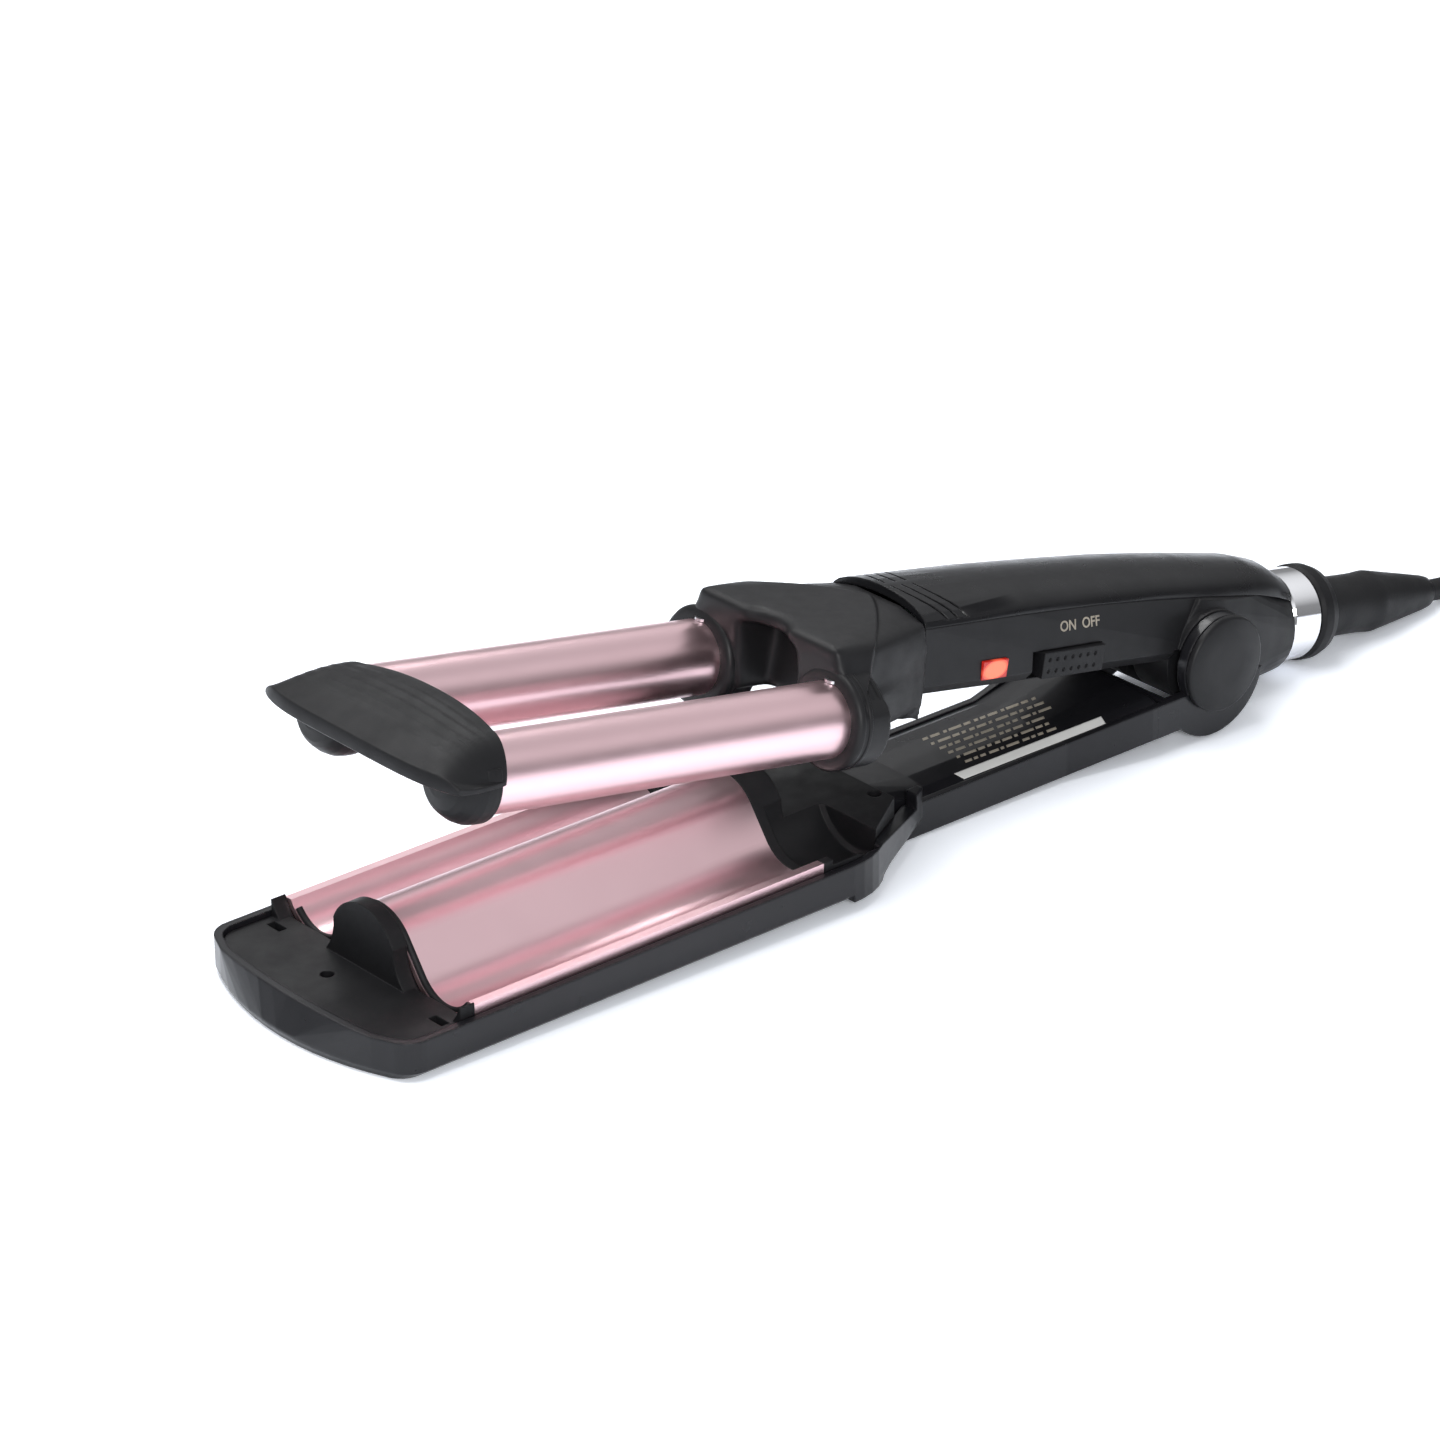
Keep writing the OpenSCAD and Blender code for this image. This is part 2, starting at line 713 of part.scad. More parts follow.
// Near half of the outline of the lower arm, from the middle of the front to the end of the grip
front_r = 80;
corner_r = 7;
function half_outline(half_w, inset) =
    let (
        cx = -reach + front_r,
        fr = front_r - inset,
        cr = corner_r - inset / 2,
        cy = half_w - inset - cr,
        a = asin(cy / (fr - cr)),
        kx = cx - (fr - cr) * cos(a),
        back = [-140, -(half_w - inset)],
        grip_y = waist_w / 2 - inset
    )
    [
        each arc(cx, 0, fr, 180, 180 + a, 6),
        each arc(kx, -cy, cr, 180 + a + 8, 270, 5),
        each arc(-141, -(half_w - 22), 22 - inset, 270, 315, 5),
        [grip_front + 1, -(grip_y + 0.2)],
        [grip_front + 6, -grip_y]
    ];
function mirrored(p) = [for (i = [len(p) - 1 : -1 : 0]) [p[i][0], -p[i][1]]];
function tray_outline(half_w, inset, back) =
    let (h = half_outline(half_w, inset), w = waist_w / 2 - inset)
    [each h, [back, -w], [back, w], each mirrored(h)];

module lower_housing() {
    tray_half = tray_w / 2;
    color(shell_black)
    difference() {
        union() {
            hull() {
                linear_extrude(height = 0.5) polygon(tray_outline(tray_half - 1.5, 1, -126));
                translate([0, 0, 2]) linear_extrude(height = 0.5) polygon(tray_outline(tray_half, 0, -126));
                translate([0, 0, rim_h - 0.5]) linear_extrude(height = 0.5) polygon(front_rim(tray_half, -126));
            }
            linear_extrude(height = rim_h) polygon(shoulder_outline(tray_half));
            grip_form(0, 0, grip_wall_h, grip_front);
            for (s = [-1, 1]) ear(s);
        }
        translate([0, 0, floor_t]) linear_extrude(height = 30) polygon(pocket_outline(tray_half));
        grip_form(wall_t, floor_t, 30, grip_front + 2);
        rotate([90, 0, 0]) linear_extrude(height = 100, center = true)
            polygon([[-128, rim_h], [grip_front + 2, grip_wall_h - grip_drop], [grip_front + 2, 40], [-128, 40]]);
        translate([grip_front - 6, -(waist_w / 2 - wall_t), floor_t]) cube([10, waist_w - 2 * wall_t, 30]);
        for (s = [-1, 1]) along_x(plate_back + 3, s * barrel_y, trough_z) cylinder(r = socket_r + 0.7, h = socket_back - plate_back - 2.2);
        across_low(boss_r + 1.2, -ear_in, ear_in);
        across_low(pin_d / 2 + pin_gap, -ear_out - 1, ear_out + 1);
        for (x = lower_screw_xs) translate([x, 0, -grip_drop - 1]) cylinder(r = 1.6, h = 5);
        for (x = lower_screw_xs) translate([x, 0, -grip_drop - eps]) cylinder(r = 3.1, h = 1.2);
    }
}

// Lower handle: a narrow, slightly lower waist that widens to the ears
module grip_form(inset, z, h, x0) {
    half = waist_w / 2 - inset;
    translate([x0, -half, z - grip_drop]) cube([waist_back - x0 + eps, 2 * half, h]);
    hull() {
        translate([waist_back, -half, z - grip_drop]) cube([eps, 2 * half, h]);
        translate([-24, inset + 0.02 - grip_w / 2, z + 0.02]) cube([grip_back + 24 - inset, grip_w - 2 * inset - 0.04, h - 0.04]);
    }
}

// Outline of the rim: as the floor, but cut back to a flatter line at the front
function rim_front_x(y, inset) = -reach + 3.4 + inset + 0.0022 * y * y;
function front_rim(half_w, back) =
    [for (p = tray_outline(half_w, 0, back)) [max(p[0], rim_front_x(p[1], 0)), p[1]]];
function shoulder_outline(half_w) =
    let (n = [for (p = half_outline(half_w, 0)) if (p[0] > -150) p])
    [each n, each mirrored(n)];
function pocket_outline(half_w) =
    let (h = [for (p = half_outline(half_w, wall_t)) [max(p[0], rim_front_x(p[1], wall_t)), p[1]]])
    [each h, each mirrored(h)];

lower_screw_xs = [-100, -56];

// Cylinder across the lower arm at the hinge axis
module across_low(r, y0, y1) {
    translate([0, 0, hinge_h]) across(r, y0, y1);
}

// Rounded ear with a lobe towards the underside
module ear(side) {
    mid = (ear_in + ear_out) / 2;
    translate([0, side * mid, hinge_h]) rotate([90, 0, 0])
        linear_extrude(height = ear_out - ear_in, center = true)
            union() {
                circle(r = boss_r - 0.2);
                intersection() {
                    translate([-1.5, -2.5]) circle(r = 17.4);
                    translate([-30, -30]) square([60, 30 + grip_wall_h - hinge_h]);
                }
                translate([-22, -hinge_h]) square([14, grip_wall_h]);
            }
}

// Section of the wave: ridge, two troughs and flat lips; inset gives the inner face of the sheet
wave_base = 4.4;
ridge_z = ridge_h - ridge_r;
wave_angle = atan2(trough_z - ridge_z, barrel_y)
    + acos((ridge_r + trough_r) / norm([barrel_y, trough_z - ridge_z]));
module wave_solid(x0, x1, inset, half_w) {
    long = x1 - x0;
    a = [(ridge_r - inset) * cos(wave_angle), ridge_z + (ridge_r - inset) * sin(wave_angle)];
    b = [barrel_y - (trough_r + inset) * cos(wave_angle), trough_z - (trough_r + inset) * sin(wave_angle)];
    difference() {
        union() {
            for (s = [-1, 1])
                translate([x0 + long / 2, s * (half_w - inset + barrel_y - 4) / 2, (lip_h - inset) / 2])
                    cube([long, half_w - inset - barrel_y + 4, lip_h - inset], center = true);
            along_x(x0, 0, ridge_z) cylinder(r = ridge_r - inset, h = long);
            extrude_x(x0, x1) polygon([
                [-barrel_y, 0], [-barrel_y, b[1]], [-b[0], b[1]], [-a[0], a[1]],
                [a[0], a[1]], [b[0], b[1]], [barrel_y, b[1]], [barrel_y, 0]
            ]);
        }
        for (s = [-1, 1]) along_x(x0 - 1, s * barrel_y, trough_z) cylinder(r = trough_r + inset, h = long + 2);
    }
}

module extrude_x(x0, x1) {
    translate([x0, 0, 0]) rotate([90, 0, 90]) linear_extrude(height = x1 - x0) children();
}

module wave_plate() {
    half = tray_w / 2 - wall_t - 0.3;
    color(rose)
    difference() {
        wave_solid(plate_front, plate_back, 0, half);
        wave_solid(plate_front - 1, plate_back + 1, plate_t, half);
        translate([plate_front - 1, -half - 1, -1]) cube([plate_back - plate_front + 2, 2 * half + 2, wave_base + 1]);
    }
}

// Black wall at the front of the wave, with the shelf in front of it
module front_end_plate() {
    half = tray_w / 2 - wall_t - 0.3;
    color(soft_black)
    difference() {
        union() {
            difference() {
                union() {
                    translate([plate_front - 4.2, -half, floor_t + 0.05]) cube([4.1, 2 * half, lip_h + 0.6 - floor_t]);
                    along_x(plate_front - 4.2, 0, ridge_z + 1) cylinder(r = ridge_r + 1, h = 4.1);
                }
                for (s = [-1, 1]) along_x(plate_front - 5, s * barrel_y, trough_z) cylinder(r = trough_r + 1.6, h = 6);
                translate([plate_front - 5, -20, -5]) cube([6, 40, 5 + floor_t]);
            }
            translate([0, 0, rim_h - 3.6]) linear_extrude(height = 2.2) polygon(shelf_outline());
        }
        translate([plate_front - 12, 4, 0]) cylinder(r = 1.7, h = 20);
        for (s = [-1, 1]) translate([plate_front - 6.5, s * (tray_w / 2 - 7.5), rim_h - 2.6]) cube([2.4, 5, 4], center = true);
    }
}
function shelf_outline() =
    let (h = [for (p = pocket_outline(tray_w / 2)) if (p[0] < plate_front - 5) [p[0] + 0.15, p[1] * 0.995]], w = tray_w / 2 - wall_t - 0.3)
    [for (p = h) if (p[1] < -eps) p, [plate_front - 1, -w], [plate_front - 1, w], for (p = h) if (p[1] > eps) p];

// Black block with the two cups that take the barrel roots
module rear_guard() {
    half = tray_w / 2 - wall_t - 0.3;
    color(soft_black)
    difference() {
        union() {
            wave_solid(plate_back + 0.1, plate_back + 9, 0, half);
            translate([plate_back + 8.9, 0, 0]) intersection() {
                translate([0, -half, floor_t + 0.05]) cube([28, 2 * half, lip_h - floor_t]);
                translate([-plate_back - 8.9, 0, 0]) linear_extrude(height = 40) polygon(pocket_outline(tray_w / 2 - 0.1));
            }
        }
        translate([0, 0, -10 + floor_t + 0.05]) extrude_x(plate_back - 1, -100) translate([-50, 0]) square([100, 10]);
        for (s = [-1, 1]) {
            along_x(plate_back + 3, s * barrel_y, trough_z) cylinder(r = cup_r, h = cup_back - plate_back - 3);
            along_x(cup_back - eps, s * barrel_y, trough_z) cylinder(r1 = cup_r, r2 = cup_r - 1.2, h = 1);
            translate([-114.5, s * 16.3, lip_h - 3]) cylinder(r = 1.8, h = 5);
        }
        translate([plate_back + 14, -6, 4]) cube([30, 12, 4]);
    }
}

// Crowned cover inside the grip, rising to the guard at its front and to the ears behind
module cover_slab(x, half, rise) {
    extrude_x(x, x + 1) polygon([
        [-half, 3.6], [-half, 5.6 + rise], [-half + 3, 6.6 + rise], [-7, 7.4 + rise],
        [7, 7.4 + rise], [half - 3, 6.6 + rise], [half, 5.6 + rise], [half, 3.6]
    ]);
}
module inner_cover() {
    half = waist_w / 2 - wall_t - 0.2;
    color(shell_black)
    union() {
        hull() {
            cover_slab(guard_back + 1, half - 1, 2.6);
            cover_slab(-96, half, 0);
        }
        hull() {
            cover_slab(-96, half, 0);
            cover_slab(waist_back - 1, half, 0);
        }
        hull() {
            cover_slab(waist_back - 1, half, 0);
            cover_slab(-21, grip_w / 2 - wall_t - 0.6, 2.9);
        }
    }
}

module plate_heater() {
    color(white_ceramic)
    translate([plate_front + 16, -7, 12.6]) cube([plate_back - plate_front - 33, 14, 3]);
}

module heater_clamp() {
    color("#a8abb0")
    translate([plate_front + 18, -6.5, 10.6]) cube([plate_back - plate_front - 37, 13, 1.9]);
}

module plate_sensor() {
    color(steel)
    translate([plate_front + 58, 2, 16.5]) cylinder(r = 2.6, h = 4);
}

// Screws through the floor into the inner cover
module lower_screws() {
    color(steel)
    for (x = lower_screw_xs)
        translate([x, 0, -grip_drop]) {
            translate([0, 0, 0.1]) cylinder(r = 3, h = 1.05);
            translate([0, 0, 0.6]) cylinder(r = 1.5, h = 5.9);
        }
}
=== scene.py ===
import math

import bmesh
import bpy
import numpy as np
from mathutils import Matrix, Vector


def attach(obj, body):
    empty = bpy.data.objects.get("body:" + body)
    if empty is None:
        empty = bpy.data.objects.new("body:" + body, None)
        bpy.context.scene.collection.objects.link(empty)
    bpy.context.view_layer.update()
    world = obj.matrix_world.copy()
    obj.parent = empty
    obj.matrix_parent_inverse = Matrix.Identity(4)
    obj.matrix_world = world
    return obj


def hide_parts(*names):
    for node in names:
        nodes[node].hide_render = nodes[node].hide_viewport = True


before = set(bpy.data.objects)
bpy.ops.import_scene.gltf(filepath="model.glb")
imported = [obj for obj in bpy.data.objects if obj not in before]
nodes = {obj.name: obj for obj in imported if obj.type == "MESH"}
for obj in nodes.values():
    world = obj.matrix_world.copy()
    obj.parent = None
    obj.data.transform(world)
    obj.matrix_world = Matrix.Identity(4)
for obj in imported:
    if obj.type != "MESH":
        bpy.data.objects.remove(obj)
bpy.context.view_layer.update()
scene = bpy.context.scene
scene.view_settings.view_transform = "Standard"

# Places: the hinge line, and the two arms' own frames in millimetres

MM = 1000  # millimetres in a metre
HINGE = Vector((0.0911292, 0.0, 0.0208863))
HINGE_UP = 14.9  # from the lower arm's underside to the hinge line
ARM_ANGLE = math.radians(9.3)
LOW_ANGLE = math.radians(1.2)
BARREL_Y, BARREL_Z = 24, 2.4  # where the barrels' axes lie in the handle arm


def arm(x, y, z):
    """A point of the handle arm, in mm from the hinge, as a world point."""
    c, s = math.cos(ARM_ANGLE), math.sin(ARM_ANGLE)
    return HINGE + Vector((x * c + z * s, y, z * c - x * s)) / MM


def low(x, y, u):
    """A point of the lower arm, u up from its underside, as a world point."""
    c, s = math.cos(LOW_ANGLE), math.sin(LOW_ANGLE)
    z = u - HINGE_UP
    return HINGE + Vector((x * c - z * s, y, z * c + x * s)) / MM


def arm_mm(co):
    """World coordinates as an array of handle arm coordinates in mm."""
    c, s = math.cos(ARM_ANGLE), math.sin(ARM_ANGLE)
    d = (co - np.array(HINGE)) * MM
    return np.stack([d[:, 0] * c - d[:, 2] * s, d[:, 1], d[:, 0] * s + d[:, 2] * c], 1)


def arm_world(q):
    """The way back from arm_mm."""
    c, s = math.cos(ARM_ANGLE), math.sin(ARM_ANGLE)
    d = np.stack([q[:, 0] * c + q[:, 2] * s, q[:, 1], q[:, 2] * c - q[:, 0] * s], 1)
    return d / MM + np.array(HINGE)


ARM_BACK = arm(1, 0, 0) - arm(0, 0, 0)
LOW_DOWN = (low(0, 0, 0) - low(0, 0, 1)).normalized()


# Camera

PICTURE = 1440  # side of the photo's frame in pixels
LENS, SENSOR = 137.5, 36
FOCAL_PIXELS = PICTURE * LENS / SENSOR

camera = bpy.data.objects.new("camera", bpy.data.cameras.new("camera"))
scene.collection.objects.link(camera)
camera.data.lens = LENS
camera.data.sensor_width = SENSOR
camera.data.clip_start = 0.05
right = Vector((0.75752, -0.652761, 0.008152)).normalized()
look = Vector((0.595184, 0.685464, -0.419398)).normalized()
up = right.cross(look)
axes = Matrix((right, up, -look)).transposed().to_4x4()
camera.matrix_world = Matrix.Translation((-0.853452, -0.91405, 0.600272)) @ axes
scene.camera = camera


# Cord: one smooth route from the strain relief to the plug

CORD_D = 0.006
LAY_Z, TOP_Z = 2.5, 9.1  # heights of the cord's axis in the CAD's two layers, in mm
RUN = [
    (217.0, -2.8, 2.8),
    (221.5, -4.5, LAY_Z),
    (227, -8.5, LAY_Z),
    (232, -13, LAY_Z),
    (237, -18.5, LAY_Z),
    (242, -23.6, LAY_Z),
    (247, -27.8, LAY_Z),
    (252, -30.8, LAY_Z),
    (258, -32.8, LAY_Z),
    (265, -33.5, LAY_Z),
    (272, -33.6, LAY_Z),
]
TAIL = [
    (284, -29.7, TOP_Z),
    (300, -29.7, TOP_Z),
    (330, -29.7, TOP_Z),
    (360, -29.7, TOP_Z),
    (384, -29.7, TOP_Z),
    (394, -29.2, TOP_Z),
    (404, -28.2, TOP_Z),
    (413, -27, 9.0),
    (421, -26, 8.6),
    (428, -25.4, 8),
    (434, -25.1, 7.3),
    (440, -25, 6.8),
    (446, -25, 6.8),
]
HANK_X, HALF, FOLD_R, PITCH = 330, 52, 18, 7.8  # the hank's middle, half length, folds
TURNS, TURNS_IN, TURN_STEPS = 4, 2, 24


def hank_place(i):
    """Place i of the hank in mm: it winds in on the surface and out on top."""
    turn = i / TURN_STEPS
    if turn < TURNS_IN:
        r = FOLD_R + (TURNS_IN - turn) * PITCH
    else:
        r = FOLD_R + max(0, turn - TURNS_IN - 0.5) * PITCH
    z = LAY_Z + (TOP_Z - LAY_Z) * min(1, max(0, (turn - TURNS_IN) * 2))
    s = i % TURN_STEPS
    if s < 3:
        x, y = -HALF + 2 * HALF * s / 3, -r
    elif s < 12:
        a = math.radians(-90 + 20 * (s - 3))
        x, y = HALF + r * math.cos(a), r * math.sin(a)
    elif s < 15:
        x, y = HALF - 2 * HALF * (s - 12) / 3, r
    else:
        a = math.radians(90 + 20 * (s - 15))
        x, y = -HALF + r * math.cos(a), r * math.sin(a)
    return (HANK_X + x, y, z)


def smooth_line(points, steps):
    """Extra places between the points of a line, on a Catmull-Rom spline."""
    line = []
    last = len(points) - 1
    for k in range(last):
        a, b, c, d = points[max(k - 1, 0)], points[k], points[k + 1], points[min(k + 2, last)]
        for i in range(steps):
            t = i / steps
            place = 2 * b + (c - a) * t
            place += (2 * a - 5 * b + 4 * c - d) * t**2
            place += (3 * b - a - 3 * c + d) * t**3
            line.append(0.5 * place)
    return line + [points[-1]]


def ring_faces(rings, sides):
    """Faces of a round skin over rings of points, with an end cap at each end."""
    faces = []
    for k in range(rings - 1):
        for i in range(sides):
            m = (i + 1) % sides
            faces.append((k * sides + i, k * sides + m, (k + 1) * sides + m, (k + 1) * sides + i))
    faces.append(tuple(range(sides - 1, -1, -1)))
    faces.append(tuple(range((rings - 1) * sides, rings * sides)))
    return faces


def swept(name, line, radius, sides):
    """A round mesh tube along a line."""
    verts = []
    side = Vector((0, 0, 1))
    for k, place in enumerate(line):
        ahead = (line[min(k + 1, len(line) - 1)] - line[max(k - 1, 0)]).normalized()
        side = (side - ahead * side.dot(ahead)).normalized()
        other = ahead.cross(side)
        for i in range(sides):
            a = 2 * math.pi * i / sides
            verts.append(place + (side * math.cos(a) + other * math.sin(a)) * radius)
    data = bpy.data.meshes.new(name)
    data.from_pydata([tuple(v) for v in verts], [], ring_faces(len(line), sides))
    data.shade_smooth()
    data.set_sharp_from_angle(angle=math.radians(50))
    obj = bpy.data.objects.new(name, data)
    scene.collection.objects.link(obj)
    return obj


exit_point = Vector((0.193859, 0, 0.004672))
first = ((0, 0, 0), (5, 0, -0.65), (10, -0.3, -1.15), (16, -1.2, -1.8))
route = [exit_point + Vector(d) / MM for d in first]
route += [Vector(p) / MM for p in RUN]
route += [Vector(hank_place(i)) / MM for i in range(TURNS * TURN_STEPS + 1)]
route += [Vector(p) / MM for p in TAIL]
route = [Vector((p.x, p.y, max(p.z, CORD_D / 2))) for p in route]  # round, on the floor
cord_line = smooth_line(route, 4)
cord = swept("mains_cord", cord_line, CORD_D / 2, 16)
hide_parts("cord_run", "cord_hank", "cord_tail")
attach(cord, "handle_arm")


# Materials


class Shader:
    """A small builder for one node-based material."""

    def __init__(self, name):
        self.mat = bpy.data.materials.new(name)
        self.mat.use_nodes = True
        self.tree = self.mat.node_tree
        self.bsdf = self.tree.nodes["Principled BSDF"]
        self.place = self.node("ShaderNodeTexCoord").outputs["Object"]

    def node(self, kind, **values):
        made = self.tree.nodes.new(kind)
        for key, value in values.items():
            setattr(made, key, value)
        return made

    def link(self, a, b):
        self.tree.links.new(a, b)

    def noise(self, scale, detail=3):
        tex = self.node("ShaderNodeTexNoise")
        tex.inputs["Scale"].default_value = scale
        tex.inputs["Detail"].default_value = detail
        self.link(self.place, tex.inputs["Vector"])
        return tex.outputs["Fac"]

    def spread(self, source, low_value, high_value):
        """The middle of a noise, spread between two values."""
        tool = self.node("ShaderNodeMapRange")
        tool.inputs["From Min"].default_value = 0.3
        tool.inputs["From Max"].default_value = 0.7
        tool.inputs["To Min"].default_value = low_value
        tool.inputs["To Max"].default_value = high_value
        self.link(source, tool.inputs["Value"])
        return tool.outputs["Result"]

    def ramp(self, source, *stops):
        """A colour for each value, from two stops of (position, colour)."""
        tool = self.node("ShaderNodeValToRGB")
        for element, (position, colour) in zip(tool.color_ramp.elements, stops):
            element.position = position
            element.color = (*colour, 1)
        self.link(source, tool.inputs["Fac"])
        return tool.outputs["Color"]

    def blend(self, source, dark, light):
        colour = self.ramp(source, (0.3, dark), (0.7, light))
        self.link(colour, self.bsdf.inputs["Base Color"])
        return colour

    def bump(self, source, depth, edge):
        """Fine relief, over edges rounded by a bevel of this radius."""
        tool = self.node("ShaderNodeBump")
        tool.inputs["Distance"].default_value = depth
        tool.inputs["Strength"].default_value = 1.0
        self.link(source, tool.inputs["Height"])
        if edge:
            bevel = self.node("ShaderNodeBevel", samples=6)
            bevel.inputs["Radius"].default_value = edge
            self.link(bevel.outputs["Normal"], tool.inputs["Normal"])
        self.link(tool.outputs["Normal"], self.bsdf.inputs["Normal"])


def plastic(name, dark, light, rough, grain=0.00003, grain_scale=2200, coat=0.0, edge=0.0005):
    s = Shader(name)
    s.blend(s.noise(38), dark, light)
    rough_noise = s.spread(s.noise(160, 4), rough * 0.85, rough * 1.15)
    s.link(rough_noise, s.bsdf.inputs["Roughness"])
    s.bump(s.noise(grain_scale, 2), grain, edge)
    s.bsdf.inputs["Specular IOR Level"].default_value = 0.2
    s.bsdf.inputs["Coat Weight"].default_value = coat
    s.bsdf.inputs["Coat Roughness"].default_value = 0.08
    return s.mat


def metal(name, dark, light, rough, scale=900, grain=0.000004, edge=0.0003):
    s = Shader(name)
    s.blend(s.noise(scale / 6), dark, light)
    rough_noise = s.spread(s.noise(scale, 1), rough * 0.95, rough * 1.05)
    s.link(rough_noise, s.bsdf.inputs["Roughness"])
    if grain or edge:
        s.bump(s.noise(scale * 2, 2), grain, edge)
    s.bsdf.inputs["Metallic"].default_value = 1.0
    return s.mat


def lens_material(centre, half_x, half_z):
    """Lit lens: bright in the middle, deep red towards its rim."""
    s = Shader("red_lens")
    shift = s.node("ShaderNodeMapping")
    shift.inputs["Location"].default_value = tuple(-Vector(centre))
    s.link(s.place, shift.inputs["Vector"])
    turn = s.node("ShaderNodeMapping")
    turn.inputs["Rotation"].default_value = (0, -ARM_ANGLE, 0)
    turn.inputs["Scale"].default_value = (1 / half_x, 0, 1 / half_z)
    s.link(shift.outputs["Vector"], turn.inputs["Vector"])
    size = s.node("ShaderNodeVectorMath", operation="LENGTH")
    s.link(turn.outputs["Vector"], size.inputs[0])
    glow = s.ramp(size.outputs["Value"], (0.72, (1.0, 0.15, 0.075)), (1.0, (0.32, 0.012, 0.008)))
    s.link(glow, s.bsdf.inputs["Base Color"])
    s.link(glow, s.bsdf.inputs["Emission Color"])
    s.bsdf.inputs["Emission Strength"].default_value = 0.65
    s.link(s.spread(s.noise(1600), 0.12, 0.2), s.bsdf.inputs["Roughness"])
    s.bump(s.noise(2600, 1), 0.00003, 0.0004)
    return s.mat


gloss_black = plastic(
    "gloss_black", (0.004, 0.004, 0.005), (0.006, 0.006, 0.007), 0.3,
    grain=0.000004, grain_scale=500, coat=0.06,
)
satin_black = plastic(
    "satin_black", (0.008, 0.008, 0.009), (0.011, 0.011, 0.012), 0.42, grain=0.00001
)
shell_black = plastic(
    "shell_black", (0.007, 0.007, 0.0085), (0.01, 0.01, 0.012), 0.32,
    grain=0.000006, grain_scale=1200, coat=0.15, edge=0.0009,
)
matte_black = plastic(
    "matte_black", (0.006, 0.006, 0.007), (0.01, 0.01, 0.011), 0.5, grain=0.000016
)
rubber = plastic(
    "cord_rubber", (0.007, 0.007, 0.008), (0.011, 0.011, 0.012), 0.5,
    grain_scale=1500, edge=0.0003,
)
rose = metal(
    "rose_satin", (0.81, 0.565, 0.6), (0.83, 0.585, 0.62), 0.32, scale=120, grain=0, edge=0
)
ceramic = plastic("white_ceramic", (0.66, 0.64, 0.58), (0.76, 0.74, 0.68), 0.6)
steel = metal("plain_steel", (0.5, 0.5, 0.52), (0.6, 0.6, 0.62), 0.3, edge=0)
chrome = metal(
    "polished_chrome", (0.82, 0.82, 0.84), (0.87, 0.87, 0.89), 0.07, scale=300, grain=0.000001
)
nickel = metal("nickel_brass", (0.68, 0.66, 0.58), (0.76, 0.74, 0.66), 0.22)
aluminium = metal(
    "cast_aluminium", (0.6, 0.6, 0.62), (0.72, 0.72, 0.74), 0.45, grain=0.00002
)
board = plastic("board_green", (0.02, 0.11, 0.045), (0.03, 0.15, 0.06), 0.35)
red_lens = lens_material(arm(-79.5, -19.4, 6.3), 0.0046, 0.0027)
print_grey = plastic("print_beige", (0.3, 0.27, 0.22), (0.38, 0.34, 0.28), 0.5, grain=0.000004)
label_white = plastic("label_pale", (0.6, 0.6, 0.59), (0.72, 0.72, 0.7), 0.45, grain=0.000004)

finish = {
    gloss_black: ["handle_top_shell"],
    shell_black: ["inner_cover", "lower_housing"],
    satin_black: ["handle_frame", "fork_housing", "hinge_cap_near", "hinge_cap_far"],
    matte_black: [
        "barrel_collar_near", "barrel_collar_far", "end_plug_near", "end_plug_far",
        "tip_bridge", "switch_body", "switch_knob", "swivel_collar", "plug_body",
        "front_end_plate", "rear_guard",
    ],
    rose: ["barrel_near", "barrel_far", "wave_plate"],
    ceramic: ["barrel_heater_near", "barrel_heater_far", "heater_spacers", "plate_heater"],
    steel: [
        "barrel_screws", "thermal_fuse", "handle_screws", "hinge_pin", "torsion_spring",
        "plate_sensor", "lower_screws",
    ],
    chrome: ["chrome_ring"],
    rubber: ["strain_relief", "hank_tie", "cord_run", "cord_hank", "cord_tail"],
    nickel: ["plug_pins"],
    aluminium: ["heater_clamp"],
    board: ["control_board"],
    red_lens: ["led_lens"],
}
for material, names in finish.items():
    for name in names:
        data = nodes[name].data
        if not data.materials:
            data.materials.append(material)
        for k in range(len(data.materials)):
            data.materials[k] = material
cord.data.materials.append(rubber)


# Helpers for the detail pieces


def hit(node, start, direction):
    """Where a ray from start meets a CAD node, and the surface's normal there."""
    found, place, normal, _ = nodes[node].ray_cast(start, direction)
    if not found:
        raise ValueError(f"nothing of {node} at {tuple(start)}")
    if normal.dot(direction) > 0:
        normal = -normal
    return place, normal


def mesh_piece(name, verts, faces, material, body, smooth=True):
    data = bpy.data.meshes.new(name)
    data.from_pydata([tuple(v) for v in verts], [], faces)
    data.materials.append(material)
    if smooth:
        data.shade_smooth()
    obj = bpy.data.objects.new(name, data)
    scene.collection.objects.link(obj)
    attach(obj, body)
    return obj


